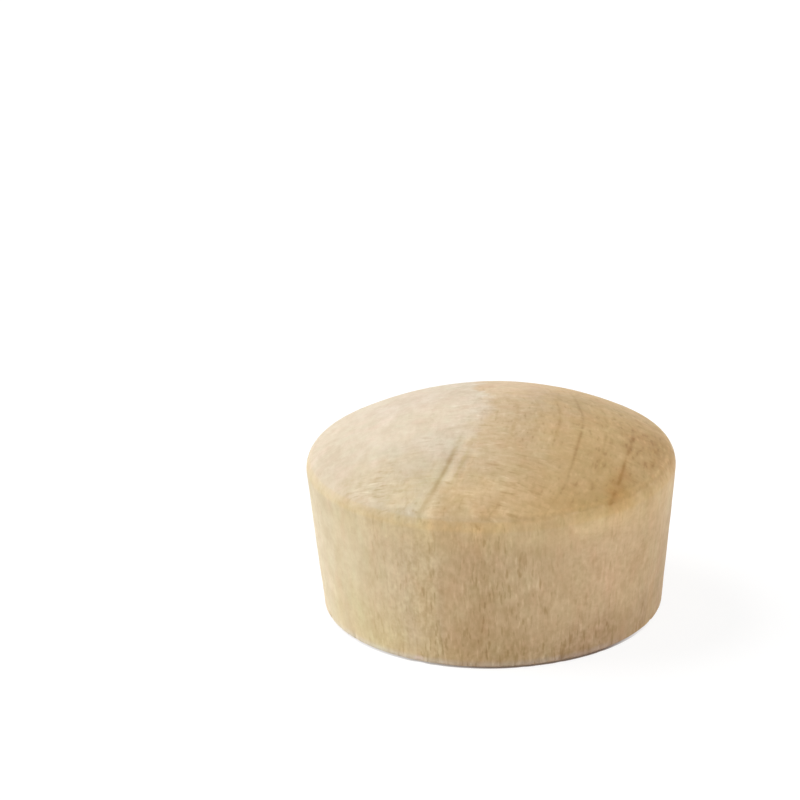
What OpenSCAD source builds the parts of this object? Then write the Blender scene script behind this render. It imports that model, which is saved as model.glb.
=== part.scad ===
// Button plug: a turned wooden plug that fills a drilled screw hole and covers its edge.
// It stands on its small flat end, with the grain of the wood along +Z. The origin is at
// the centre of the flat end.

/* [Hole] */
// Diameter of the drilled hole that the plug is driven into
hole_d = 12.7; // [9.5:0.1:40]
// How much smaller than the hole the flat end is, across, so that the plug starts easily
lead_in = 0.45; // [0.1:0.05:1]
// How much larger than the hole the rim is, across, so that it wedges and hides the edge
oversize = 0.6; // [0.2:0.05:1.5]

/* [Body] */
// Height of the tapered side, up to where it would meet the dome at a sharp rim
side_h = 5.6; // [3:0.1:20]
// Radius of the broken edge round the flat end
foot_r = 0.2; // [0.05:0.05:0.5]

/* [Head] */
// Rise of the dome above the sharp rim
dome_h = 1.9; // [0.8:0.1:4]
// Radius that rolls the side over into the dome
rim_r = 0.7; // [0.2:0.05:1.2]

/* [Hidden] */
$fn = 180;

// How far a rounding stands proud of the two faces that it joins, so that their outlines
// cross cleanly instead of only touching. It is far below any tolerance in wood.
proud = 0.001;
// Margin by which cutting and trimming outlines pass what they cut.
past = 1;

// The outline with sharp corners, before its roundings.
small_r = (hole_d - lead_in) / 2;
large_r = (hole_d + oversize) / 2;
total_h = side_h + dome_h;
dome_r = (pow(large_r, 2) + pow(dome_h, 2)) / (2 * dome_h);
dome_c = [0, total_h - dome_r];

// Directions along the tapered side and square to it, in the half section.
taper = atan2(large_r - small_r, side_h);
upward = [sin(taper), cos(taper)];
outward = [cos(taper), -sin(taper)];

// The broken edge touches the flat end and the side.
foot_c = [small_r - foot_r * (1 - sin(taper)) / cos(taper), foot_r];
foot_flat = [foot_c[0], 0];
foot_side = foot_c + foot_r * outward;

// The rim touches the side and the dome. Its centre lies on the line rim_r inside the
// side, at the place that is dome_r - rim_r from the centre of the dome.
inset = [small_r, 0] - rim_r * outward;
along = (inset - dome_c) * upward;
reach = pow(dome_r - rim_r, 2) - pow(norm(inset - dome_c), 2) + pow(along, 2);
rim_c = inset + (sqrt(reach) - along) * upward;
rim_side = rim_c + rim_r * outward;
rim_top = rim_c + rim_r * (rim_c - dome_c) / norm(rim_c - dome_c);

// A disc of the half section.
module disc(centre, radius) {
    translate(centre) circle(r = radius);
}

// The waste outside a rounding: everything past the chord between the two points where it
// touches its faces, as far as the sharp corner and beyond.
module corner_waste(centre, first, last) {
    a = first - centre;
    b = last - centre;
    middle = (a + b) * norm(a) / norm(a + b);
    polygon([first, centre + 3 * a, centre + 3 * middle, centre + 3 * b, last]);
}

// Half section under the dome's arc, with its corners still sharp.
module sharp_section() {
    top = total_h + past;
    intersection() {
        disc(dome_c, dome_r);
        polygon([[0, 0], [small_r, 0], [small_r + top * tan(taper), top], [0, top]]);
    }
}

// Half section with both corners rounded and the flat end trimmed level.
module half_section() {
    intersection() {
        union() {
            difference() {
                sharp_section();
                corner_waste(foot_c, foot_flat, foot_side);
                corner_waste(rim_c, rim_side, rim_top);
            }
            disc(foot_c, foot_r + proud);
            disc(rim_c, rim_r + proud);
        }
        square([large_r + past, total_h + past]);
    }
}

// The whole plug, turned from one piece of wood.
module plug() {
    color("burlywood") rotate_extrude() half_section();
}

plug();
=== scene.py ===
# %% [markdown]
# # A wooden button plug
# A button plug fills the hole over a sunken screw and covers its edge. It is turned in one go
# from a dowel of pale, close-grained hardwood and parted off, so it is a single piece: a small
# flat end, a side that widens upwards, a rolled rim and a low dome. Nothing is painted or
# glued on it. All that tells the eye it is wood is in its surface: growth rings and rays on the
# dome, fine pores running down the side, and the torn spot where it was parted from the dowel.

# %% Load the construction model
import math
from typing import NamedTuple

import bpy
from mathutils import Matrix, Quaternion, Vector, noise


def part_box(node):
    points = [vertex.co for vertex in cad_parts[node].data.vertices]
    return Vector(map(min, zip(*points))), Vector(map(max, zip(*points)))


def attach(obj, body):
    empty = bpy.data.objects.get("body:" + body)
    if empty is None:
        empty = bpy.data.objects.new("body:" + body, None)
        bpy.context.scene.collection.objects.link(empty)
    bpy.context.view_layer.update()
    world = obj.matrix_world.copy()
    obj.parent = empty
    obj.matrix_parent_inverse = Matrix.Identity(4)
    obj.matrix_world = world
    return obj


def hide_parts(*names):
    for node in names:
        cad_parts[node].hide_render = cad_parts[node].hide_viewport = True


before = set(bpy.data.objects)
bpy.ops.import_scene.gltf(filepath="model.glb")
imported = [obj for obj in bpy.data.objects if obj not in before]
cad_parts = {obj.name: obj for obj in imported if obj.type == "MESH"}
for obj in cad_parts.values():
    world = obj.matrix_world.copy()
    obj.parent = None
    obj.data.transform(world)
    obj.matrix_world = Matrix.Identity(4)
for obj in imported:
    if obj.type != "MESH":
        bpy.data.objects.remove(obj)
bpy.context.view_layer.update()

MM = 0.001
low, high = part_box("plug")
widest_radius = (high.x - low.x) / 2 / MM
height = (high.z - low.z) / MM
print(f"plug: {2 * widest_radius:.2f} mm over the rim, {height:.2f} mm high")

# %% [markdown]
# ## The turned section
# Anything turned on a lathe is one outline swept round its axis, so the outline comes first.
# It is drawn with straight lines and true arcs, not by eye: the rim is an arc that touches the
# tapered side and the dome at once, and its centre follows from those two. Working in
# millimetres keeps the numbers readable; they turn into metres only when the mesh is made.

# %% Sizes of the section, in millimetres
SIDE_HEIGHT = 5.6
FLAT_END_RADIUS = 6.125
SHARP_RIM_RADIUS = 6.65
RIM_ROLL = 0.7
END_EDGE_ROLL = 0.14
dome_rise = height - SIDE_HEIGHT
dome_radius = (SHARP_RIM_RADIUS ** 2 + dome_rise ** 2) / (2 * dome_rise)
dome_centre = height - dome_radius
taper = math.atan2(SHARP_RIM_RADIUS - FLAT_END_RADIUS, SIDE_HEIGHT)
print(f"taper {math.degrees(taper):.2f} degrees, dome radius {dome_radius:.2f} mm")

# %% Centres of the two rolled edges
side_out = Vector((math.cos(taper), -math.sin(taper)))
side_up = Vector((math.sin(taper), math.cos(taper)))
inset_foot = Vector((FLAT_END_RADIUS, 0)) - RIM_ROLL * side_out
from_dome = inset_foot - Vector((0, dome_centre))
along = from_dome.dot(side_up)
travel = math.sqrt(along ** 2 - from_dome.length_squared + (dome_radius - RIM_ROLL) ** 2) - along
rim_centre = inset_foot + travel * side_up
edge_centre = Vector((FLAT_END_RADIUS - END_EDGE_ROLL * (1 - math.sin(taper)) / math.cos(taper),
                      END_EDGE_ROLL))
rim_dome_angle = math.atan2(rim_centre.y - dome_centre, rim_centre.x)
rim_widest = rim_centre.x + RIM_ROLL
print(f"rim arc centre {rim_centre.x:.3f}, {rim_centre.y:.3f}; widest {rim_widest:.3f} mm,",
      f"{abs(rim_widest - widest_radius):.4f} mm from the construction model")


# %% Arcs and straight lines as points
def arc(centre, radius, start, end, steps):
    """Points on an arc after its first one, from angle start to end."""
    angles = [start + (end - start) * i / steps for i in range(1, steps + 1)]
    return [(centre[0] + radius * math.cos(a), centre[1] + radius * math.sin(a)) for a in angles]


def straight(start, end, steps):
    """Points on a straight line after its first one."""
    return [tuple(Vector(start).lerp(Vector(end), i / steps)) for i in range(1, steps + 1)]


# %% Points along the section
SPOT_REACH = 1.5
EDGE_REACH = 0.4
STEPS = {"spot": 30, "flat end": 24, "end edge": 7, "foot": 8, "side": 42, "rim": 14, "dome": 88}
flat_end = straight((0, 0), (SPOT_REACH, 0), STEPS["spot"])
flat_end += straight((SPOT_REACH, 0), (edge_centre.x, 0), STEPS["flat end"])
end_edge = arc(edge_centre, END_EDGE_ROLL, -math.pi / 2, -taper, STEPS["end edge"])
side_low = Vector(end_edge[-1]) + EDGE_REACH * side_up
side_top = rim_centre + RIM_ROLL * side_out
side = straight(end_edge[-1], side_low, STEPS["foot"]) + straight(side_low, side_top, STEPS["side"])
rim = arc(rim_centre, RIM_ROLL, -taper, rim_dome_angle, STEPS["rim"])
dome = arc((0, dome_centre), dome_radius, rim_dome_angle, math.pi / 2, STEPS["dome"])
section = flat_end + end_edge + side + rim + dome
print(f"section of {len(section)} points")

# %% [markdown]
# ## From section to mesh
# A plain lathe mesh has the same number of columns everywhere, which crowds thin slivers into
# the middle of the dome. Here a ring drops to half as many points each time it has shrunk
# enough, and one row of triangles makes each change. The mesh stays even all over, so the fine
# relief that comes next sits on it without pinching. The flat end has little relief outside
# its parting spot, so its rings may be coarser.

# %% How many points each ring has
COLUMNS = 768
COARSEST_HALVING = 6
DOME_SPACING = 0.04
FLAT_END_SPACING = 0.075


def ring_count(radius, spacing):
    """Points round a ring: halved as long as they would be closer than the spacing."""
    count = COLUMNS
    while count > COLUMNS >> COARSEST_HALVING and 2 * math.pi * radius / count < spacing:
        count //= 2
    return count


# %% Points, ring by ring
points, rings = [(0.0, 0.0, 0.0)], []
for number, (radius, level) in enumerate(section[:-1]):
    spacing = FLAT_END_SPACING if number < len(flat_end) else DOME_SPACING
    count = ring_count(radius, spacing)
    first = len(points)
    for i in range(count):
        angle = 2 * math.pi * i / count
        points.append((radius * math.cos(angle), radius * math.sin(angle), level))
    rings.append(range(first, first + count))
points.append((0.0, 0.0, section[-1][1]))
print(f"{len(points)} points in {len(rings)} rings, the widest of {max(len(r) for r in rings)}")


# %% Faces between two rings
def stitch(lower, upper):
    """Faces between two rings of vertex numbers, where one may have half as many as the other."""
    n, m = len(lower), len(upper)
    if n == m:
        return [(lower[i], lower[(i + 1) % n], upper[(i + 1) % n], upper[i]) for i in range(n)]
    faces = []
    fine, coarse, flip = (lower, upper, False) if n > m else (upper, lower, True)
    size = len(fine)
    for k in range(len(coarse)):
        a, b = coarse[k], coarse[(k + 1) % len(coarse)]
        f0, f1, f2 = fine[2 * k], fine[2 * k + 1], fine[(2 * k + 2) % size]
        for face in ((f0, f1, a), (f1, b, a), (f1, f2, b)):
            faces.append(face[::-1] if flip else face)
    return faces


# %% All faces, and the mesh as a piece
inner, last, top = rings[0], rings[-1], len(points) - 1
faces = [(0, inner[(i + 1) % len(inner)], inner[i]) for i in range(len(inner))]
for lower, upper in zip(rings, rings[1:]):
    faces += stitch(lower, upper)
    if upper is rings[len(flat_end) - 1]:
        parted_faces = len(faces)
faces += [(last[i], last[(i + 1) % len(last)], top) for i in range(len(last))]
triangles = sum(len(face) - 2 for face in faces)
print(f"{triangles} triangles, {parted_faces} faces on the flat end")

mesh = bpy.data.meshes.new("plug_wood")
mesh.from_pydata([tuple(c * MM for c in p) for p in points], [], faces)
mesh.validate()
mesh.shade_smooth()
plug = bpy.data.objects.new("plug_wood", mesh)
bpy.context.scene.collection.objects.link(plug)
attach(plug, "root")
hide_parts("plug")

# %% [markdown]
# ## Growth rings
# The dowel was cut well away from the heart of the tree, so the rings cross the plug as wide,
# shallow curves. No tree grows perfectly round, so they don't all share one centre. Wood is
# solid: a ring that shows as a line on the dome is a wall that runs straight down through the
# piece. So each ring is described once, in plan, and both the mesh relief and the colour read
# the same description. The groove and the brown line then fall in one place on the dome, and
# the line comes out again on the flat end.


# %% What describes a ring
class Ring(NamedTuple):
    """One growth ring: an arc in plan, its groove, and where along it the line is strongest."""
    name: str
    centre: tuple
    radius: float
    width: float
    groove: float
    strongest: float
    reach: float
    broken: float
    colour_change: tuple


# %% The rings, in millimetres as seen from above
RINGS = [
    Ring("near ring", (-14.5, 1.2), 14.0, 0.08, 0.008, -3.9, 1.35, 0.34, (0.82, 0.77, 0.66)),
    Ring("soft near ring", (-14.5, 1.2), 14.0, 0.14, 0.0, -5.0, 1.9, 0.32, (0.86, 0.81, 0.72)),
    Ring("beside the near ring", (-14.5, 1.2), 14.47, 0.07, 0.0, -4.1, 1.1, 0.36, (0.93, 0.91, 0.81)),
    Ring("pale thread", (-14.5, 1.2), 14.72, 0.09, 0.0, -3.9, 1.2, 0.36, (1.07, 1.07, 1.08)),
    Ring("first thread", (-9.0, -0.45), 9.95, 0.09, 0.0, -1.5, 2.2, 0.48, (0.90, 0.86, 0.78)),
    Ring("second thread", (-9.0, -0.45), 10.7, 0.08, 0.0, -1.8, 2.6, 0.50, (0.90, 0.85, 0.76)),
    Ring("third thread", (-9.0, -0.45), 11.45, 0.07, 0.002, -0.8, 3.0, 0.48, (0.87, 0.82, 0.72)),
    Ring("middle ring", (-9.0, -0.45), 12.25, 0.065, 0.004, -1.8, 4.0, 0.35, (0.79, 0.72, 0.61)),
    Ring("fourth thread", (-9.0, -0.45), 13.1, 0.07, 0.002, -1.5, 3.0, 0.47, (0.85, 0.80, 0.70)),
    Ring("fifth thread", (-11.5, 0.8), 15.95, 0.07, 0.0, -2.0, 2.8, 0.48, (0.86, 0.81, 0.71)),
    Ring("far ring", (-11.5, 0.8), 16.6, 0.065, 0.004, -3.0, 2.4, 0.33, (0.78, 0.69, 0.55)),
    Ring("soft far ring", (-11.5, 0.8), 16.62, 0.2, 0.0, -4.0, 1.6, 0.32, (0.97, 0.92, 0.85)),
    Ring("rim ring", (-11.6, 0.25), 17.45, 0.1, 0.003, -2.0, 2.0, 0.46, (0.84, 0.77, 0.64)),
]
grooved = [ring.name for ring in RINGS if ring.groove]
print(f"{len(RINGS)} rings and threads; grooved: {', '.join(grooved)}")

# %% How a ring lies in the surface
RING_WAVER = 0.03
RING_WAVER_LENGTH = 3.6
LIP_OFFSET = 3.4
LIP_WIDTH = 1.7
LIP_HEIGHT = 0.35


def smooth_step(start, end, value):
    """0 before start, 1 after end, and an S curve between; start may be the larger."""
    share = min(1.0, max(0.0, (value - start) / (end - start)))
    return share * share * (3 - 2 * share)


def ring_relief(ring, x, y):
    """Height of a ring's groove and of the soft lip beside it, at a place in plan."""
    distance = math.hypot(x - ring.centre[0], y - ring.centre[1]) - ring.radius
    distance += RING_WAVER * math.sin(2 * math.pi * y / RING_WAVER_LENGTH)
    share = distance / ring.width
    groove = math.exp(-share ** 2)
    lip = math.exp(-((share - LIP_OFFSET) / LIP_WIDTH) ** 2)
    shows = math.exp(-((y - ring.strongest) / ring.reach) ** 2)
    return ring.groove * shows * (LIP_HEIGHT * lip - groove)


# %% [markdown]
# ## Relief in the mesh
# A sanded plug is never a perfect lathe shape. It was held against a belt, so the dome rolls
# a little; a ring wears into a shallow groove with a soft lip beside it; fibres stand up along
# the side; and the thin edge round the flat end is nicked where it was cut off. All of this is
# real geometry here, moved along the surface normal. Only what is finer than the mesh is left
# to bump in the material.

# %% Sizes of the relief, in millimetres
UNEVEN_SCALE, UNEVEN_DEPTH = 0.42, 0.016
RIPPLE_SCALE, RIPPLE_DEPTH = 1.5, 0.004
FIBRE_ACROSS, FIBRE_ALONG, FIBRE_DEPTH = 4.0, 1.2, 0.0035
END_GRAIN_SCALE, END_GRAIN_DEPTH = 3.0, 0.002
END_GRAIN_FACING = (0.35, 0.8)
TEAR_ACROSS, TEAR_ALONG, TEAR_DEPTH = 4.2, 0.8, 0.035
TEAR_SHARE = (0.25, 0.6)
TEAR_REACH, TEAR_DEEPEST = 0.55, 0.1
LEVEL_FOOT = 0.06
SEED = {"uneven": 3.1, "ripple": 7.7, "fibre": 1.3, "end grain": 5.9, "tear": 9.2,
        "torn": 4.4, "torn fine": 8.3, "dished": 2.2}


class Nick(NamedTuple):
    """A dent in the edge of the flat end: where it is round the plug, and its size."""
    turn: float
    level: float
    across: float
    up: float
    depth: float


NICKS = [Nick(-24.6, 0.16, 0.21, 0.12, 0.055), Nick(16.6, 0.24, 0.07, 0.16, 0.04),
         Nick(36.9, 0.2, 0.08, 0.14, 0.04), Nick(57.0, 0.26, 0.1, 0.2, 0.045),
         Nick(-71.0, 0.15, 0.12, 0.1, 0.035), Nick(118.0, 0.2, 0.16, 0.14, 0.05),
         Nick(171.0, 0.22, 0.09, 0.18, 0.04), Nick(-133.0, 0.14, 0.24, 0.1, 0.05)]
print(f"{len(NICKS)} nicks, the deepest {max(nick.depth for nick in NICKS)} mm")


# %% Height of the relief at a place
def roughness_of(place, across, along, seed):
    """Smooth random height from -1 to 1 that is drawn out along the grain."""
    return noise.noise(Vector((place.x * across, place.y * across, place.z * along + SEED[seed])))


def nick_relief(nick, place):
    """Height of one dent in the edge of the flat end."""
    turn = math.radians(nick.turn)
    across = place.x * math.cos(turn) + place.y * math.sin(turn)
    outwards = place.x * math.sin(turn) - place.y * math.cos(turn)
    if outwards < 0:
        return 0.0
    reach = (across / nick.across) ** 2 + ((place.z - nick.level) / nick.up) ** 2
    return -nick.depth * math.exp(-reach ** 2)


def turned_relief(place, normal):
    """Height added to the dome, the rim and the side."""
    end_grain = smooth_step(*END_GRAIN_FACING, normal.z)
    fibre = roughness_of(place, FIBRE_ACROSS, FIBRE_ALONG, "fibre")
    added = UNEVEN_DEPTH * roughness_of(place, UNEVEN_SCALE, UNEVEN_SCALE, "uneven")
    added += RIPPLE_DEPTH * roughness_of(place, RIPPLE_SCALE, RIPPLE_SCALE, "ripple")
    added += (1 - end_grain) * FIBRE_DEPTH * fibre
    added += end_grain * END_GRAIN_DEPTH * roughness_of(place, END_GRAIN_SCALE, 1.0, "end grain")
    added += end_grain * sum(ring_relief(ring, place.x, place.y) for ring in RINGS)
    if place.z < TEAR_REACH:
        torn = smooth_step(*TEAR_SHARE, roughness_of(place, TEAR_ACROSS, TEAR_ALONG, "tear"))
        added -= TEAR_DEPTH * torn * smooth_step(TEAR_REACH, TEAR_DEEPEST, place.z)
        added += sum(nick_relief(nick, place) for nick in NICKS)
        added *= smooth_step(0.0, LEVEL_FOOT, place.z)
    return added


# %% [markdown]
# ## The parting spot
# The flat end shows how the plug left the dowel. The parting tool cut inwards until only a thin
# core was left, and then the core broke. Its fibres tore out, which leaves a shallow ragged pit
# with a small dark hole in it, brown specks, two fibres that lie flat beside it, and faint rings
# from the tool round about. The pit is too deep for bump, so it is cut into the mesh, and only
# its colours come later. The plug must still rest flat, so the relief of this end only ever
# goes inwards.

# %% Sizes of the parting spot, in millimetres
SPOT_RADIUS, SPOT_DEPTH = 0.48, 0.1
SPOT_RAGGED, SPOT_RAGGED_SCALE = 0.3, 2.2
SPOT_BORDER = 0.09
HOLE_PLACE = Vector((-0.05, 0.06))
HOLE_RADIUS, HOLE_DEPTH = 0.1, 0.2
TORN_SCALE, TORN_DEPTH = 4.5, 0.05
TORN_FINE_SCALE, TORN_FINE_SHARE = 11.0, 0.5
TOOL_RING_PITCH, TOOL_RING_DEPTH, TOOL_RING_REACH = 0.24, 0.006, 1.35
LEVEL_BORDER = 0.3


def spot_share(x, y):
    """1 inside the torn spot and 0 outside, with a ragged border."""
    radius = math.hypot(x, y)
    angle = math.atan2(y, x)
    ragged = noise.noise(Vector((SPOT_RAGGED_SCALE * math.cos(angle),
                                 SPOT_RAGGED_SCALE * math.sin(angle), radius)))
    edge = SPOT_RADIUS * (1 + SPOT_RAGGED * ragged)
    return smooth_step(edge + SPOT_BORDER, edge - SPOT_BORDER, radius)


def parted_relief(place):
    """Height added to the flat end, never outwards."""
    radius = math.hypot(place.x, place.y)
    spot = spot_share(place.x, place.y)
    torn = roughness_of(place, TORN_SCALE, 1.0, "torn")
    torn += TORN_FINE_SHARE * roughness_of(place, TORN_FINE_SCALE, 1.0, "torn fine")
    hole = math.exp(-((Vector((place.x, place.y)) - HOLE_PLACE).length / HOLE_RADIUS) ** 2)
    tool_rings = 0.5 - 0.5 * math.cos(2 * math.pi * radius / TOOL_RING_PITCH)
    tool_rings *= smooth_step(TOOL_RING_REACH, SPOT_RADIUS, radius) * (1 - spot)
    inside = smooth_step(edge_centre.x, edge_centre.x - LEVEL_BORDER, radius)
    dished = inside * RIPPLE_DEPTH * (1 + roughness_of(place, RIPPLE_SCALE, 1.0, "dished")) / 2
    pit = spot * (SPOT_DEPTH + TORN_DEPTH * torn + HOLE_DEPTH * hole)
    return -max(0.0, pit + TOOL_RING_DEPTH * tool_rings + dished)


# %% Move the points
normals = [vertex.normal.copy() for vertex in mesh.vertices]
parted_points = rings[len(flat_end) - 1].stop
most_in, most_out = 0.0, 0.0
for vertex, normal in zip(mesh.vertices, normals):
    place = vertex.co / MM
    if vertex.index < parted_points:
        added = parted_relief(place)
        normal = Vector((0, 0, -1))
    else:
        added = turned_relief(place, normal)
    vertex.co += added * MM * normal
    most_in, most_out = min(most_in, added), max(most_out, added)
mesh.update()
print(f"relief from {most_in:.3f} to {most_out:.3f} mm")

# %% [markdown]
# ## Building shader nodes in words
# The wood is made of nodes that read the place inside the solid, in millimetres, never a
# picture wrapped round it, so the grain runs on from face to face. A small helper keeps the
# node code short enough to read: add() puts in a node and fills its inputs, and the rest are
# the handful of sums that wood needs.

# %% A short way to write nodes
CLOUD_RANGE = (0.2, 0.8)
IN_PLAN = (1, 1, 0)


class Graph:
    """A node tree with short names for what the wood needs."""

    def __init__(self, tree):
        self.tree = tree

    def fill(self, socket, value):
        """Give an input a link, if the value comes from a node, or else a plain value."""
        if isinstance(value, bpy.types.NodeSocket):
            self.tree.links.new(value, socket)
        else:
            socket.default_value = value

    def add(self, kind, inputs, **settings):
        """Add a node of a kind, with its settings and its inputs by name or number."""
        made = self.tree.nodes.new("ShaderNode" + kind)
        for name, value in settings.items():
            setattr(made, name, value)
        for name, value in inputs.items():
            self.fill(made.inputs[name], value)
        return made

    def use(self, group, inputs, label=""):
        """Place a node group under a label and return its outputs."""
        return self.add("Group", inputs, node_tree=group, label=label).outputs

    def sum(self, operation, a, b=0.0):
        """One step of arithmetic on numbers."""
        return self.add("Math", {0: a, 1: b}, operation=operation).outputs[0]

    def product(self, first, *others):
        """Several masks multiplied, so that only the place they share is left."""
        for other in others:
            first = self.sum("MULTIPLY", first, other)
        return first

    def fade(self, value, start, end, low=0.0, high=1.0):
        """An S curve from low to high while the value goes from start to end."""
        inputs = {"Value": value, 1: start, 2: end, 3: low, 4: high}
        return self.add("MapRange", inputs, interpolation_type="SMOOTHSTEP").outputs[0]

    def hump(self, offset):
        """1 at an offset of 0, and fading out on both sides of it."""
        square = self.sum("MULTIPLY", offset, offset)
        return self.sum("EXPONENT", self.sum("MULTIPLY", square, -1.0))

    def vector(self, operation, a, b):
        """One step of arithmetic on places."""
        return self.add("VectorMath", {0: a, 1: b}, operation=operation).outputs[0]

    def length(self, place):
        """How far a place is from the origin."""
        return self.add("VectorMath", {0: place}, operation="LENGTH").outputs["Value"]

    def stretch(self, place, by):
        """A place with each of its axes scaled."""
        return self.vector("MULTIPLY", place, by)

    def axes(self, place):
        """The X, Y and Z of a place, by name."""
        return self.add("SeparateXYZ", {0: place}).outputs

    def cloud(self, place, scale, detail=2.0, roughness=0.55):
        """Soft noise from 0 to 1 round 0.5."""
        inputs = {"Vector": place, "Scale": scale, "Detail": detail, "Roughness": roughness}
        return self.add("TexNoise", inputs).outputs[0]

    def spread(self, cloud, low=0.0, high=1.0):
        """Soft noise, which seldom leaves its middle range, spread from low to high."""
        return self.fade(cloud, *CLOUD_RANGE, low, high)

    def tint(self, blend, share, base, colour):
        """Blend a colour into a base colour by a share."""
        inputs = {"Factor": share, 6: base, 7: colour}
        return self.add("Mix", inputs, data_type="RGBA", blend_type=blend).outputs[2]

    def shade(self, colour, grain, strength, dark, pale):
        """Darken and lighten a colour with grain from 0 to 1, by more or less strength."""
        centred = self.sum("MULTIPLY", self.sum("SUBTRACT", grain, 0.5), strength)
        tone = self.tint("MIX", self.sum("ADD", centred, 0.5), dark, pale)
        return self.tint("MULTIPLY", 1.0, colour, tone)


# %% A short way to start a node group
def new_group(name, takes, gives):
    """Start a node group; return its graph, what it is given, and what it has to give."""
    tree = bpy.data.node_groups.new(name, "ShaderNodeTree")
    for socket, kind in takes.items():
        tree.interface.new_socket(socket, in_out="INPUT", socket_type="NodeSocket" + kind)
    for socket, kind in gives.items():
        tree.interface.new_socket(socket, in_out="OUTPUT", socket_type="NodeSocket" + kind)
    given = tree.nodes.new("NodeGroupInput").outputs
    result = tree.nodes.new("NodeGroupOutput").inputs
    return Graph(tree), given, result


def finished(graph):
    """The tree of a node group that is complete."""
    print(f"node group {graph.tree.name}: {len(graph.tree.nodes)} nodes")
    return graph.tree


# %% [markdown]
# ## A growth ring in the colour
# The same arc as in the mesh, now as nodes: the distance from the arc gives a thin stained
# line, a pale lip on its outer side, and, for the ring where the wood changes, how far inside
# or outside a place lies. A line is never whole. It is strongest at one place along the arc,
# and soft noise breaks it into short lengths.

# %% Node group: growth ring
GAPS = {"scale": 1.5, "detail": 2.0}
GAP_EDGE = (-0.1, 0.12)
takes = {"Place": "Vector", "Centre": "Vector", "Radius": "Float", "Width": "Float",
         "Strongest": "Float", "Reach": "Float", "Broken": "Float"}
gives = {"Line": "Float", "Lip": "Float", "Distance": "Float"}
graph, given, result = new_group("Growth ring", takes, gives)
apart = graph.vector("SUBTRACT", given["Place"], given["Centre"])
reach = graph.length(graph.stretch(apart, IN_PLAN))
back = graph.axes(given["Place"])["Y"]
swing = graph.sum("SINE", graph.sum("MULTIPLY", back, 2 * math.pi / RING_WAVER_LENGTH))
distance = graph.sum("SUBTRACT", reach, given["Radius"])
distance = graph.sum("ADD", distance, graph.sum("MULTIPLY", swing, RING_WAVER))
share = graph.sum("DIVIDE", distance, given["Width"])
from_lip = graph.sum("DIVIDE", graph.sum("SUBTRACT", share, LIP_OFFSET), LIP_WIDTH)
from_best = graph.sum("DIVIDE", graph.sum("SUBTRACT", back, given["Strongest"]), given["Reach"])
gaps = graph.sum("SUBTRACT", graph.cloud(given["Place"], **GAPS), given["Broken"])
shows = graph.product(graph.fade(gaps, *GAP_EDGE), graph.hump(from_best))
graph.fill(result["Line"], graph.product(graph.hump(share), shows))
graph.fill(result["Lip"], graph.product(graph.hump(from_lip), shows))
graph.fill(result["Distance"], distance)
growth_ring = finished(graph)

# %% [markdown]
# ## Grain
# Three things make up fine hardwood grain. Rays are thin sheets of cells that run from the
# heart of the tree outwards: on the dome they are short dashes across the rings. Pores are long
# tubes along the grain: dots on the dome, thin dark dashes on the side. Fibres fill the rest and
# give the side its soft lengthwise streaks. All of them are one kind of random pattern, drawn
# out to a different size, so one group makes them: an even grain that goes both ways from its
# middle, and the few darkest and palest places alone, as flecks.

# %% Node group: grain
GRAIN = {"scale": 1.0, "detail": 1.5}
GRAIN_RANGE = (0.22, 0.78)
DARK_FLECKS = (0.42, 0.29)
PALE_FLECKS = (0.60, 0.73)
takes = {"Place": "Vector", "Size": "Vector"}
gives = {"Grain": "Float", "Dark": "Float", "Pale": "Float"}
graph, given, result = new_group("Grain", takes, gives)
pattern = graph.cloud(graph.vector("DIVIDE", given["Place"], given["Size"]), **GRAIN)
graph.fill(result["Grain"], graph.fade(pattern, *GRAIN_RANGE))
graph.fill(result["Dark"], graph.fade(pattern, *DARK_FLECKS))
graph.fill(result["Pale"], graph.fade(pattern, *PALE_FLECKS))
grain = finished(graph)

# %% [markdown]
# ## Patches
# No board is one colour all over. Where the tree laid down a little more or less stain, the
# wood is creamy or brown in soft patches, many of them drawn out along the grain. A few patches
# are painted light instead: painted sheen at the back of the dome, a painted highlight on the
# foot in front and painted shade at the foot on the right. One group makes a patch with a
# wandering border; each use gives it a place, a size and a colour. The same group says where
# the grain shows strongly and where it is hardly there.

# %% Node group: patch
PATCH_WANDER = 0.35
PATCH_BORDER = (1.25, 0.1)
takes = {"Place": "Vector", "Wander": "Float", "Centre": "Vector", "Size": "Vector"}
graph, given, result = new_group("Patch", takes, {"Patch": "Float"})
apart = graph.vector("SUBTRACT", given["Place"], given["Centre"])
reach = graph.length(graph.vector("DIVIDE", apart, given["Size"]))
reach = graph.sum("ADD", reach, graph.spread(given["Wander"], -PATCH_WANDER, PATCH_WANDER))
graph.fill(result["Patch"], graph.fade(reach, *PATCH_BORDER))
patch = finished(graph)


# %% A patch, and how it is placed
class Patch(NamedTuple):
    """A soft patch: where it is, how far it reaches, and the colour or strength it adds; some colours
    are painted light.
    """
    name: str
    centre: tuple
    size: tuple
    adds: tuple


def mask_of(part, graph, place, wander):
    """1 in the middle of a patch and 0 outside it."""
    inputs = {"Place": place, "Wander": wander, "Centre": part.centre, "Size": part.size}
    return graph.use(patch, inputs, part.name)["Patch"]
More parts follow.
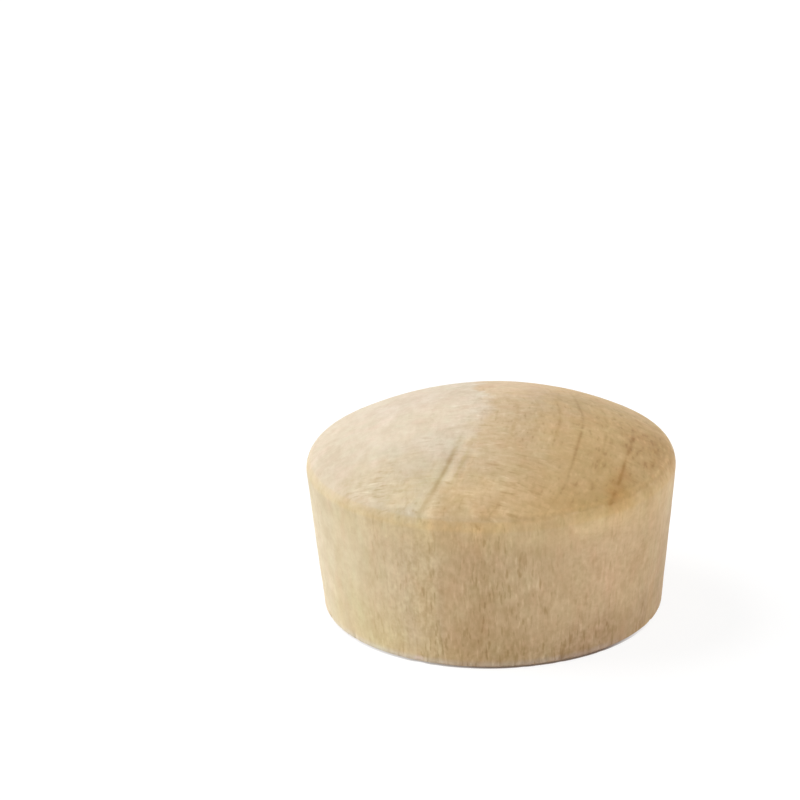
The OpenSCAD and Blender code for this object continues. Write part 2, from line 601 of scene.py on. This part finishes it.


# %% Stains and a few patches of painted light: each multiplies the colour of the wood; places and reaches in millimetres
LONG = 40.0
STAINS_AND_PAINTED_LIGHT = [
    Patch("cream by the near ring", (-1.6, -0.7, 7), (2.4, 2.4, 4), (1.10, 1.095, 1.10)),
    Patch("brown past the near ring", (1.0, -0.7, 7), (1.9, 2.0, 4), (0.925, 0.92, 0.92)),
    Patch("brown behind", (3.4, 1.3, 7), (2.1, 1.7, 3), (0.87, 0.885, 0.905)),
    Patch("pale in front", (0.6, -5.6, 6), (2.6, 1.2, 2), (1.06, 1.04, 1.02)),
    Patch("yellow in front", (-1.6, -5.4, 6.2), (2.2, 1.2, 2), (1.075, 1.06, 0.99)),
    # Painted sheen: the back left of the dome is made a little paler and bluer.
    Patch("painted sheen at the back left", (-3.0, 1.0, 7), (2.4, 1.6, 3), (1.015, 1.01, 1.06)),
    Patch("grey at the far left", (-6.2, -1.8, 6), (1.6, 3.0, 3), (0.93, 0.92, 0.90)),
    Patch("yellow towards the front left", (-3.4, -4.5, 6.1), (3.2, 2.1, 2), (0.91, 0.885, 0.79)),
    Patch("orange at the far ring", (4.4, -4.3, 6.6), (0.8, 1.3, 1.6), (0.96, 0.90, 0.78)),
    Patch("amber fleck on the rim", (4.14, -5.1, 5.75), (0.2, 0.26, 0.25), (0.95, 0.88, 0.77)),
    Patch("pale nick at the foot", (-2.6, -5.5, 0.15), (0.26, 0.35, 0.12), (1.22, 1.20, 1.34)),
    Patch("brown rim", (5.8, -1.3, 6.4), (1.4, 2.6, 1.4), (0.86, 0.79, 0.70)),
    # Painted sheen: the back of the dome is made paler and bluer, on top of the shader's own sheen.
    Patch("painted sheen at the back", (0.9, 2.4, 7), (1.9, 1.8, 4), (1.06, 1.05, 1.115)),
    Patch("pale rim in front", (-0.7, -6.4, 5.6), (2.6, 1.0, 0.45), (1.085, 1.075, 1.05)),
    Patch("brown by the rim in front", (-1.4, -6.0, 5.9), (2.1, 0.65, 0.5), (0.94, 0.93, 0.90)),
    Patch("pale below the rim", (3.6, -5.4, 5.2), (2.8, 1.8, 0.5), (1.08, 1.09, 1.095)),
    Patch("pale side top at the left", (-4.0, -4.9, 5.0), (1.6, 1.6, 0.6), (1.09, 1.11, 1.14)),
    Patch("yellow rim at the right", (4.2, -4.8, 5.65), (3.7, 1.9, 0.55), (0.91, 0.87, 0.75)),
    Patch("yellow rim at the left", (-4.6, -4.3, 5.7), (1.8, 1.8, 0.7), (0.95, 0.95, 0.97)),
    Patch("yellow side", (-4.5, -4.8, 2.6), (2.2, 2.2, LONG), (1.09, 1.07, 1.02)),
    Patch("pale streak", (-2.35, -6.05, 3.4), (0.55, 1.4, 5.0), (1.11, 1.125, 1.10)),
    Patch("brown side", (-0.8, -6.4, 1.6), (1.8, 1.6, 4.2), (0.915, 0.885, 0.83)),
    Patch("yellow base at the left", (-4.3, -4.2, 0.9), (1.8, 1.9, 1.5), (0.95, 0.94, 0.86)),
    # Painted highlight: paler low in front, where the foot catches the light.
    Patch("painted highlight on the foot", (-2.4, -5.7, 0.3), (3.0, 1.8, 0.8), (1.05, 1.07, 1.03)),
    Patch("brown base in front", (0.3, -6.2, 0.8), (1.7, 1.5, 0.7), (0.94, 0.93, 0.89)),
    # Painted shade: darker low on the right, where less light reaches the foot.
    Patch("painted shade at the foot on the right", (4.2, -4.5, 0.2), (2.9, 2.4, 1.7), (0.87, 0.825, 0.825)),
    Patch("brown at the right", (6.3, -1.2, 1.6), (1.3, 3.8, 3.4), (0.90, 0.875, 0.87)),
    Patch("pale at the right", (4.2, -5.0, 3.2), (1.2, 1.6, 2.2), (1.06, 1.04, 1.08)),
    Patch("brown below the amber fleck", (5.2, -3.9, 4.2), (1.6, 1.6, 2.4), (0.95, 0.925, 0.895)),
]
print(f"{len(STAINS_AND_PAINTED_LIGHT)} stains, from {STAINS_AND_PAINTED_LIGHT[0].name} to {STAINS_AND_PAINTED_LIGHT[-1].name}")

# %% Figures: each adds to the strength of the streaks and of the specks
FIGURES = [
    Patch("calm cream", (-4.2, 0.5, 7), (3.4, 5.5, 4.0), (-0.5, -0.5)),
    Patch("calm side at the left", (-5.4, -3.4, 3.0), (2.0, 2.9, 5.0), (-0.35, -0.3)),
    Patch("rays in front", (0.2, -4.7, 6.6), (4.0, 1.8, 2.0), (0.35, 0.0)),
    Patch("rays at the front left", (-4.1, -4.3, 6.2), (1.3, 0.9, 1.0), (0.8, 0.0)),
    Patch("specks beyond the middle ring", (4.0, -1.5, 6.8), (2.4, 4.6, 2.0), (-0.1, 0.42)),
    Patch("flecked rim", (5.6, -0.9, 6.2), (1.3, 3.0, 1.6), (0.15, 0.55)),
    Patch("pores in front", (-0.3, -6.3, 2.2), (3.4, 2.4, 4.5), (0.9, 0.4)),
    Patch("specks left of the middle", (-2.9, -5.7, 2.8), (1.7, 1.9, 3.6), (0.05, 0.6)),
    Patch("specks on the dome", (0.8, -1.4, 7.3), (2.2, 2.0, 2.0), (0.2, 0.3)),
    Patch("mottled side at the right", (4.6, -4.6, 2.4), (3.2, 3.2, 3.0), (0.1, 0.55)),
    Patch("flecked foot", (1.8, -5.8, 0.2), (5.0, 3.0, 1.2), (1.3, 0.9)),
]
print(f"{len(FIGURES)} figures, from {FIGURES[0].name} to {FIGURES[-1].name}")

# %% [markdown]
# ## The wood itself
# Now the parts go together in one group, which every face of the plug uses. It starts with the
# wood on either side of the near ring: cream inside it, tan outside. The change is sharpest
# behind the middle of the dome, and it wanders a little, as a natural border does. End grain
# drinks more light than side grain, so the two have their own pairs of colours.

# %% Base colours, and how they change across the near ring, in millimetres
CREAM_END = (0.68, 0.575, 0.43, 1)
TAN_END = (0.63, 0.428, 0.199, 1)
CREAM_SIDE = (0.695, 0.585, 0.395, 1)
TAN_SIDE = (0.745, 0.535, 0.302, 1)
WANDER = {"scale": 0.85, "detail": 3.0}
WANDER_STRETCH = (1, 1, 0.2)
WANDER_REACH = 0.5
NEAR_STEP_AT = 0.25
NEAR_STEP_SHARE = 0.55
BLUR_IN_FRONT = (-1.0, 2.0, 0.55, 0.18)
BLUR_BEHIND = (2.5, 5.0, 0.0, 0.5)
FAR_STEP = (0.4, 4.5, 0.0, 0.45)
SIDE_STEP = (-3.2, 0.0, 0.0, 0.6)
SIDE_STEP_PAST = (0.0, 1.2, 0.0, 0.4)

# %% Wood group: start, rings and border
takes = {"Place": "Vector", "End grain": "Float"}
gives = {"Color": "Color", "Height": "Float", "Roughness": "Float"}
graph, given, result = new_group("Close-grained wood", takes, gives)
place, end_grain = given["Place"], given["End grain"]
side_grain = graph.sum("SUBTRACT", 1.0, end_grain)
lines = []
for ring in RINGS:
    inputs = {"Place": place, "Centre": (*ring.centre, 0), "Radius": ring.radius,
              "Width": ring.width, "Strongest": ring.strongest, "Reach": ring.reach,
              "Broken": ring.broken}
    lines.append(graph.use(growth_ring, inputs, ring.name))
wander = graph.cloud(graph.stretch(place, WANDER_STRETCH), **WANDER)
border = graph.spread(wander, -WANDER_REACH, WANDER_REACH)
past_ring = graph.sum("ADD", lines[0]["Distance"], border)
back = graph.axes(place)["Y"]
blur = graph.sum("ADD", graph.fade(back, *BLUR_IN_FRONT), graph.fade(back, *BLUR_BEHIND))

# %% Wood group: base colour
near_start = graph.sum("SUBTRACT", NEAR_STEP_AT, blur)
near_end = graph.sum("ADD", NEAR_STEP_AT, blur)
near_step = graph.fade(past_ring, near_start, near_end, 0.0, NEAR_STEP_SHARE)
end_tone = graph.sum("ADD", near_step, graph.fade(past_ring, *FAR_STEP))
side_step = graph.fade(past_ring, *SIDE_STEP)
side_tone = graph.sum("ADD", side_step, graph.fade(past_ring, *SIDE_STEP_PAST))
on_end = graph.tint("MIX", end_tone, CREAM_END, TAN_END)
on_side = graph.tint("MIX", side_tone, CREAM_SIDE, TAN_SIDE)
colour = graph.tint("MIX", end_grain, on_side, on_end)

# %% [markdown]
# ## Stains and ring lines
# The stains lie over the base colour, and a slow change of hue, a shade warmer here and cooler
# there, keeps them from looking painted. Then each ring draws its brown line. On the side a
# ring is cut along its length, so hardly anything of the line is left there.

# %% Wood group: stains and hue
HUE = {"scale": 1.6, "detail": 3.0}
HUE_STRETCH = (1, 1, 0.5)
WARM_RANGE, WARMER = (0.5, 0.7), (1.018, 0.984, 0.993, 1)
COOL_RANGE, COOLER = (0.5, 0.3), (0.984, 1.014, 1.0, 1)
for colour_change in STAINS_AND_PAINTED_LIGHT:
    mask = mask_of(colour_change, graph, place, wander)
    colour = graph.tint("MULTIPLY", mask, colour, (*colour_change.adds, 1))
hue = graph.cloud(graph.stretch(place, HUE_STRETCH), **HUE)
colour = graph.tint("MULTIPLY", graph.fade(hue, *WARM_RANGE), colour, WARMER)
colour = graph.tint("MULTIPLY", graph.fade(hue, *COOL_RANGE), colour, COOLER)

# %% Wood group: ring lines
LINE_ON_SIDE = 0.12
LIP_HIGHLIGHT_PAINTED = (1.13, 1.13, 1.16, 1)
line_share = graph.fade(end_grain, 0.0, 1.0, LINE_ON_SIDE, 1.0)
for ring, line in zip(RINGS, lines):
    mask = graph.product(line["Line"], line_share)
    colour = graph.tint("MULTIPLY", mask, colour, (*ring.colour_change, 1))
# Painted highlight: the raised lip beside the near ring is also made paler, for the light it catches
# from the left.
lip = graph.product(lines[0]["Lip"], end_grain)
colour = graph.tint("MULTIPLY", lip, colour, LIP_HIGHLIGHT_PAINTED)

# %% [markdown]
# ## Streaks and specks
# Rays point to the heart of the tree, some way to the left of the plug. So their pattern is
# laid out in places measured from there: how far out, how far round, and how high. Fibres and
# pores run straight up, and plain X, Y and Z do for them. How strongly all this shows changes
# from place to place, or the grain would look printed.

# %% Wood group: where the grain shows
CALM = {"scale": 0.6, "detail": 2.0}
CALM_STRETCH = (1, 1, 0.4)
CALM_RANGE = (0.35, 0.65)
FIGURE_LEAST, FIGURE_MOST, FIGURE_END_MOST = 0.1, 0.6, 0.9
SPECK_LEAST, SPECK_MOST, SPECK_END_MOST = 0.0, 0.5, 0.9
calm = graph.cloud(graph.stretch(place, CALM_STRETCH), **CALM)
figure = graph.fade(calm, *CALM_RANGE, FIGURE_LEAST, FIGURE_MOST)
specked = graph.fade(calm, *CALM_RANGE, SPECK_MOST, SPECK_LEAST)
for part in FIGURES:
    mask = mask_of(part, graph, place, wander)
    figure = graph.sum("ADD", figure, graph.sum("MULTIPLY", mask, part.adds[0]))
    specked = graph.sum("ADD", specked, graph.sum("MULTIPLY", mask, part.adds[1]))
end_figure = graph.product(graph.sum("MINIMUM", figure, FIGURE_END_MOST), end_grain)
end_specks = graph.product(graph.sum("MINIMUM", specked, SPECK_END_MOST), end_grain)
side_figure = graph.product(figure, side_grain)

# %% Wood group: rays, fibres, pores and specks; sizes in millimetres
HEART = (-18.0, -0.5, 0.0)
RAY_SIZE = (0.40, 0.17, 0.4)
DASH_SIZE = (0.52, 0.135, 0.6)
FIBRE_SIZE = (0.15, 0.15, 0.42)
PORE_SIZE = (0.12, 0.12, 0.66)
SPECK_SIZE = (0.17, 0.38, 0.19)
apart = graph.vector("SUBTRACT", place, HEART)
from_heart = graph.axes(apart)
outwards = graph.length(graph.stretch(apart, IN_PLAN))
turn = graph.sum("ARCTAN2", from_heart["Y"], from_heart["X"])
sideways = graph.sum("MULTIPLY", turn, -HEART[0])
ray_parts = {"X": outwards, "Y": sideways, "Z": from_heart["Z"]}
ray_place = graph.add("CombineXYZ", ray_parts).outputs[0]
rays = graph.use(grain, {"Place": ray_place, "Size": RAY_SIZE}, "rays")
dashes = graph.use(grain, {"Place": ray_place, "Size": DASH_SIZE}, "dashes")
fibres = graph.use(grain, {"Place": place, "Size": FIBRE_SIZE}, "fibres")
pores = graph.use(grain, {"Place": place, "Size": PORE_SIZE}, "pores")
specks = graph.use(grain, {"Place": ray_place, "Size": SPECK_SIZE}, "specks")

# %% Wood group: streaks, specks and mottle in the colour
GRAIN_DARK = (0.934, 0.911, 0.877, 1)
GRAIN_PALE = (1.049, 1.067, 1.095, 1)
DRAWN = (0.0, 1.2, 0.2, 1.4)
MOTTLE = {"scale": 1.0, "detail": 4.0, "roughness": 0.78}
MOTTLE_SIZE = (0.75, 1.3, 0.95)
MOTTLE_DARK = (0.894, 0.859, 0.807, 1)
MOTTLE_PALE = (1.083, 1.115, 1.165, 1)
by_face = {"Factor": end_grain, 2: fibres["Grain"], 3: rays["Grain"]}
ridge = graph.add("Mix", by_face, data_type="FLOAT").outputs[0]
colour = graph.shade(colour, ridge, graph.fade(figure, *DRAWN), GRAIN_DARK, GRAIN_PALE)
colour = graph.shade(colour, specks["Grain"], specked, GRAIN_DARK, GRAIN_PALE)
mottle = graph.spread(graph.cloud(graph.vector("DIVIDE", place, MOTTLE_SIZE), **MOTTLE))
colour = graph.shade(colour, mottle, 1.0, MOTTLE_DARK, MOTTLE_PALE)

# %% Wood group: flecks, and what the group gives
FLECK_DARK = (0.84, 0.785, 0.70, 1)
FLECK_PALE = (1.10, 1.14, 1.20, 1)
ROUGHNESS_RANGE = (0.68, 0.58)
marks = {}
for tone in ("Dark", "Pale"):
    on_end = graph.sum("ADD", graph.product(dashes[tone], end_figure),
                       graph.product(specks[tone], end_specks))
    marks[tone] = graph.sum("ADD", on_end, graph.product(pores[tone], side_figure))
colour = graph.tint("MULTIPLY", marks["Dark"], colour, FLECK_DARK)
colour = graph.tint("MULTIPLY", marks["Pale"], colour, FLECK_PALE)
graph.fill(result["Color"], colour)
graph.fill(result["Height"], graph.sum("SUBTRACT", ridge, marks["Dark"]))
graph.fill(result["Roughness"], graph.fade(ridge, 0.0, 1.0, *ROUGHNESS_RANGE))
wood_grain = finished(graph)

# %% [markdown]
# ## Sanded wood
# The dome, the rim and the side are sanded and left bare. The material finds out where the
# surface cuts across the fibres and where it runs along them, and hands that to the wood group
# with the place. A few soft masks then multiply the colour: the rolled rim is a shade yellower,
# its upper edge towards the right carries a painted highlight, a band below it is paler, and
# the sharp foot in front carries a painted highlight too. A faint sheen stands for the fibre
# ends that catch light from the side.


# %% A material that stands on the wood group
BUMP_DEPTH = 0.012 * MM
GLOSS = 0.35


def start_wood(name):
    """Start a material; return it, its graph, its shader, the place and how it faces up."""
    material = bpy.data.materials.new(name)
    material.use_nodes = True
    graph = Graph(material.node_tree)
    coordinates = graph.add("TexCoord", {}).outputs
    place = graph.stretch(coordinates["Object"], (1 / MM, 1 / MM, 1 / MM))
    facing = graph.axes(coordinates["Normal"])["Z"]
    return material, graph, material.node_tree.nodes["Principled BSDF"], place, facing


def finish_wood(graph, shader, colour, height, bump_strength):
    """Give the shader its colour, its bump and its gloss."""
    graph.fill(shader.inputs["Base Color"], colour)
    bump = graph.add("Bump", {"Strength": bump_strength, "Distance": BUMP_DEPTH, "Height": height})
    graph.fill(shader.inputs["Normal"], bump.outputs[0])
    shader.inputs["Specular IOR Level"].default_value = GLOSS


# %% Sanded wood: where side grain turns into end grain
END_GRAIN_ACROSS = (-3.0, 3.0)
END_GRAIN_MIDDLE = (0.38, 0.57)
END_GRAIN_HALF = (0.34, 0.08)
FRAY = {"scale": 4.0, "detail": 2.0}
FRAY_REACH = 0.06
material, graph, shader, place, facing = start_wood("sanded wood")
where = graph.axes(place)
across, back, level = where["X"], where["Y"], where["Z"]
# The change itself is real, but its coming higher up the rim towards the right is painted light: the
# paler side colour there lifts the shade that falls on the right of the rim.
middle = graph.fade(across, *END_GRAIN_ACROSS, *END_GRAIN_MIDDLE)
half_change = graph.fade(across, *END_GRAIN_ACROSS, *END_GRAIN_HALF)
frayed = graph.spread(graph.cloud(place, **FRAY), -FRAY_REACH, FRAY_REACH)
end_grain = graph.fade(graph.sum("ADD", facing, frayed),
                       graph.sum("SUBTRACT", middle, half_change),
                       graph.sum("ADD", middle, half_change))
side_grain = graph.sum("SUBTRACT", 1.0, end_grain)
wood = graph.use(wood_grain, {"Place": place, "End grain": end_grain})

# %% Sanded wood: a rim tint, painted highlights and a paler band, with the range over which each mask fades
RIM_TINT = (1.015, 0.992, 0.925, 1)
RIM_TINT_FROM_BELOW, RIM_TINT_FROM_ABOVE = (-0.05, 0.2), (0.62, 0.5)
RIM_HIGHLIGHT_PAINTED = (1.17, 1.18, 1.20, 1)
RIM_HIGHLIGHT_FACING, RIM_HIGHLIGHT_ACROSS = (0.9, 0.76), (0.0, 2.6)
PALE_BAND = (1.06, 1.06, 1.015, 1)
BAND_LEVEL, BAND_ACROSS = (SIDE_HEIGHT - 1.6, SIDE_HEIGHT - 0.5), (-4.5, -1.5)
FOOT_HIGHLIGHT_PAINTED = (1.06, 1.16, 1.52, 1)
FOOT_LEVEL, FOOT_BACK = (0.34, 0.1), (0.0, -3.0)
FOOT_LEFT, FOOT_RIGHT = (-6.4, -4.2), (5.0, 3.5)
rim_tint = graph.product(graph.fade(facing, *RIM_TINT_FROM_BELOW), graph.fade(facing, *RIM_TINT_FROM_ABOVE))
# Painted highlight: the upper edge of the rim, towards the right, is made paler.
rim_highlight = graph.product(graph.fade(facing, *RIM_HIGHLIGHT_FACING), end_grain,
                          graph.fade(across, *RIM_HIGHLIGHT_ACROSS))
band = graph.product(graph.fade(level, *BAND_LEVEL), graph.fade(across, *BAND_ACROSS), side_grain)
# Painted highlight: the sharp foot in front is made paler and bluer.
foot = graph.product(graph.fade(across, *FOOT_LEFT), graph.fade(across, *FOOT_RIGHT),
                     graph.fade(level, *FOOT_LEVEL), graph.fade(back, *FOOT_BACK))
colour = graph.tint("MULTIPLY", rim_tint, wood["Color"], RIM_TINT)
colour = graph.tint("MULTIPLY", rim_highlight, colour, RIM_HIGHLIGHT_PAINTED)
colour = graph.tint("MULTIPLY", band, colour, PALE_BAND)
colour = graph.tint("MULTIPLY", foot, colour, FOOT_HIGHLIGHT_PAINTED)

# %% Sanded wood: the shader
SANDED_BUMP = 0.2
SHEEN = 0.09
SHEEN_SPREAD = 0.3
finish_wood(graph, shader, colour, wood["Height"], SANDED_BUMP)
graph.fill(shader.inputs["Roughness"], wood["Roughness"])
shader.inputs["Sheen Weight"].default_value = SHEEN
shader.inputs["Sheen Roughness"].default_value = SHEEN_SPREAD
mesh.materials.append(material)
print(f"{material.name}: {len(material.node_tree.nodes)} nodes")

# %% [markdown]
# ## The parted end
# The flat end is as the parting tool left it: browner, rougher and without sheen. The middle
# is a little paler, with brown specks round the torn spot. The torn spot itself takes the same
# radius as the pit in the mesh, so its pale and brown fibres lie inside it. The hole is painted
# nearly black, as painted shade, since no light gets out of it.

# %% Colours of the parted end
BROWNED = (0.90, 0.81, 0.71, 1)
PALER_MIDDLE = (1.05, 1.08, 1.14, 1)
TORN_BROWN = (0.52, 0.38, 0.25, 1)
TORN_PALE = (0.80, 0.68, 0.53, 1)
SPECK_BROWN = (0.74, 0.62, 0.50, 1)
HOLE_SHADE_PAINTED = (0.10, 0.055, 0.03, 1)
TAIL_PALE = (1.30, 1.36, 1.40, 1)
FIBRE_TAILS = [Patch("near fibre", (0.62, 0.12, 0), (0.2, 0.032, 1), TAIL_PALE),
               Patch("far fibre", (1.08, 0.1, 0), (0.2, 0.028, 1), TAIL_PALE)]
NO_WANDER = 0.5

# %% Parted end: paler middle, brown specks and loose fibres
PARTED_FACING = (-0.4, -0.7)
MIDDLE_REACH = (2.6, 0.6)
BROWN_SPECKS = {"scale": 4.5, "detail": 2.0}
BROWN_SPECKS_RANGE, BROWN_SPECKS_REACH = (0.55, 0.68), (1.5, 0.5)
material, graph, shader, place, facing = start_wood("parted end")
end_grain = graph.fade(facing, *PARTED_FACING)
wood = graph.use(wood_grain, {"Place": place, "End grain": end_grain})
flat = graph.stretch(place, IN_PLAN)
from_axis = graph.length(flat)
colour = graph.tint("MULTIPLY", 1.0, wood["Color"], BROWNED)
colour = graph.tint("MULTIPLY", graph.fade(from_axis, *MIDDLE_REACH), colour, PALER_MIDDLE)
speck = graph.product(graph.fade(graph.cloud(flat, **BROWN_SPECKS), *BROWN_SPECKS_RANGE),
                      graph.fade(from_axis, *BROWN_SPECKS_REACH))
colour = graph.tint("MULTIPLY", speck, colour, SPECK_BROWN)
for tail in FIBRE_TAILS:
    colour = graph.tint("MULTIPLY", mask_of(tail, graph, flat, NO_WANDER), colour, tail.adds)

# %% Parted end: the torn spot and its hole
RAGGED = {"scale": 1.8, "detail": 3.0}
RAGGED_REACH = 0.25
TORN_BORDER = 0.08
TORN_FIBRES = {"scale": 1.0, "detail": 3.0}
TORN_STRETCH, TORN_RANGE = (3, 6, 1), (0.32, 0.52)
HOLE_EDGE = {"scale": 9.0, "detail": 2.0}
HOLE_EDGE_RANGE, HOLE_EDGE_REACH = (0.25, 0.75), (-0.08, 0.08)
HOLE_BORDER = (0.14, 0.06)
ragged = graph.spread(graph.cloud(flat, **RAGGED), -RAGGED_REACH, RAGGED_REACH)
torn = graph.fade(graph.sum("ADD", from_axis, ragged), SPOT_RADIUS + TORN_BORDER,
                  SPOT_RADIUS - TORN_BORDER)
torn_fibres = graph.cloud(graph.stretch(flat, TORN_STRETCH), **TORN_FIBRES)
torn_colour = graph.tint("MIX", graph.fade(torn_fibres, *TORN_RANGE), TORN_BROWN, TORN_PALE)
colour = graph.tint("MIX", torn, colour, torn_colour)
both = {0: flat, 1: (*HOLE_PLACE, 0)}
from_hole = graph.add("VectorMath", both, operation="DISTANCE").outputs["Value"]
hole_edge = graph.fade(graph.cloud(flat, **HOLE_EDGE), *HOLE_EDGE_RANGE, *HOLE_EDGE_REACH)
hole = graph.fade(graph.sum("ADD", from_hole, hole_edge), *HOLE_BORDER)
# Painted shade: the hole is coloured nearly black.
colour = graph.tint("MIX", hole, colour, HOLE_SHADE_PAINTED)

# %% Parted end: the shader, and the faces that have it
PARTED_BUMP = 0.5
PARTED_ROUGHNESS = 0.72
finish_wood(graph, shader, colour, wood["Height"], PARTED_BUMP)
shader.inputs["Roughness"].default_value = PARTED_ROUGHNESS
mesh.materials.append(material)
for polygon in mesh.polygons[:parted_faces]:
    polygon.material_index = 1
print(f"{material.name}: {len(material.node_tree.nodes)} nodes")

# %% [markdown]
# ## Paper
# The plug stands on plain white paper. The paper is pure white to the camera, but reflects
# much less light than that onto the wood, so the background can be white without bleaching the
# plug. Where the foot meets the paper, light hardly gets in, so a very thin dark line of painted
# shade is mixed into the paper's colour there. Ambient occlusion finds its place, and two fades
# end it at the sides.

# %% The paper
PAPER_SIZE = 4.0
half = PAPER_SIZE / 2
corners = [(-half, -half, 0), (half, -half, 0), (half, half, 0), (-half, half, 0)]
paper_mesh = bpy.data.meshes.new("paper")
paper_mesh.from_pydata(corners, [], [(0, 1, 2, 3)])
paper = bpy.data.objects.new("paper", paper_mesh)
bpy.context.scene.collection.objects.link(paper)


# %% What the camera and the shiny surfaces see
def sees_background(graph):
    """1 for rays that should meet a pure white background: camera, mirror and glass rays."""
    path = graph.add("LightPath", {}).outputs
    either = graph.sum("MAXIMUM", path["Is Camera Ray"], path["Is Glossy Ray"])
    return graph.sum("MAXIMUM", either, path["Is Transmission Ray"])


# %% The contact line: painted shade
CONTACT_REACH = 0.135 * MM
CONTACT_RANGE = (0.85, 0.45)
CONTACT_LEFT = (-7.0 * MM, 1.0 * MM)
CONTACT_RIGHT = (5.8 * MM, 3.6 * MM)
CONTACT_SHADE_PAINTED = (0.16, 0.11, 0.08, 1)
paper_material = bpy.data.materials.new("white paper")
paper_material.use_nodes = True
graph = Graph(paper_material.node_tree)
openness = graph.add("AmbientOcclusion", {"Distance": CONTACT_REACH}).outputs["AO"]
across = graph.axes(graph.add("TexCoord", {}).outputs["Object"])["X"]
sides = graph.product(graph.fade(across, *CONTACT_LEFT), graph.fade(across, *CONTACT_RIGHT))
contact_shade = graph.product(graph.fade(openness, *CONTACT_RANGE), sides)
# Painted shade: the contact line is mixed into the paper's colour.
bright = graph.tint("MIX", contact_shade, (1, 1, 1, 1), CONTACT_SHADE_PAINTED)

# %% The paper's surface
PAPER_COLOUR = (0.85, 0.85, 0.85, 1)
PAPER_SHADE = (0.22, 0.22, 0.22, 1)
PAPER_GLOW = 0.86
plain = graph.add("BsdfDiffuse", {"Color": PAPER_COLOUR}).outputs[0]
shaded = graph.add("BsdfDiffuse", {"Color": graph.tint("MULTIPLY", 1.0, bright, PAPER_SHADE)})
glow = graph.add("Emission", {"Color": bright, "Strength": PAPER_GLOW})
white = graph.add("AddShader", {0: shaded.outputs[0], 1: glow.outputs[0]}).outputs[0]
surface = graph.add("MixShader", {0: sees_background(graph), 1: plain, 2: white}).outputs[0]
graph.fill(paper_material.node_tree.nodes["Material Output"].inputs["Surface"], surface)
paper_mesh.materials.append(paper_material)
print(f"{paper_material.name}: {len(paper_material.node_tree.nodes)} nodes")

# %% [markdown]
# ## Room and lamps
# The room is white to the camera and dim to the wood, for the same reason as the paper. Two
# big soft lamps light the plug: the main one from the left and a little behind, a weak one
# from the right, so that the side in front is the darkest face.

# %% The room
ROOM_LIGHT = 0.27
room = bpy.data.worlds.new("white room")
bpy.context.scene.world = room
room.use_nodes = True
graph = Graph(room.node_tree)
background = room.node_tree.nodes["Background"]
background.inputs["Color"].default_value = (1, 1, 1, 1)
graph.fill(background.inputs["Strength"], graph.sum("MAXIMUM", sees_background(graph), ROOM_LIGHT))


# %% The lamps
def lamp(name, azimuth, elevation, strength, softness):
    """A far soft lamp. Azimuth 0 stands in front and 90 to the right, as seen by the camera."""
    light = bpy.data.lights.new(name, "SUN")
    light.energy = strength * math.pi
    light.angle = math.radians(softness)
    lamp_object = bpy.data.objects.new(name, light)
    a, e = math.radians(azimuth), math.radians(elevation)
    towards = Vector((math.sin(a) * math.cos(e), -math.cos(a) * math.cos(e), math.sin(e)))
    lamp_object.rotation_mode = "QUATERNION"
    lamp_object.rotation_quaternion = towards.to_track_quat("Z", "Y")
    bpy.context.scene.collection.objects.link(lamp_object)
    print(f"{name}: energy {light.energy:.2f}, {softness} degrees wide")


lamp("key lamp", azimuth=-108, elevation=38, strength=1.0, softness=60)
lamp("fill lamp", azimuth=80, elevation=22, strength=0.32, softness=60)

# %% [markdown]
# ## Camera
# The camera stands a hand's width away, looks down a little and has a long lens. It is placed
# by its distance and elevation from the middle of the side, then turned, tilted and rolled by
# small angles.

# %% The camera
VIEW_DISTANCE = 0.1064
VIEW_ELEVATION = math.radians(22.96)
TURN_LEFT = math.radians(1.87)
TURN_UP = math.radians(2.46)
ROLL = math.radians(-1.6)
LENS = 132.2
NEAREST, FARTHEST = 0.01, 10
aim_height = SIDE_HEIGHT / 2 * MM
lens = bpy.data.cameras.new("camera")
lens.lens = LENS
lens.clip_start = NEAREST
lens.clip_end = FARTHEST
camera = bpy.data.objects.new("camera", lens)
camera.location = (0, -VIEW_DISTANCE * math.cos(VIEW_ELEVATION),
                   VIEW_DISTANCE * math.sin(VIEW_ELEVATION) + aim_height)
tilt = VIEW_ELEVATION - TURN_UP
looking = Vector((-math.sin(TURN_LEFT) * math.cos(tilt), math.cos(TURN_LEFT) * math.cos(tilt),
                  -math.sin(tilt)))
camera.rotation_mode = "QUATERNION"
camera.rotation_quaternion = looking.to_track_quat("-Z", "Y") @ Quaternion((0, 0, 1), ROLL)
bpy.context.scene.collection.objects.link(camera)
bpy.context.scene.camera = camera
bpy.context.scene.view_settings.view_transform = "Standard"
print(f"camera at {camera.location.y / MM:.1f}, {camera.location.z / MM:.1f} mm")
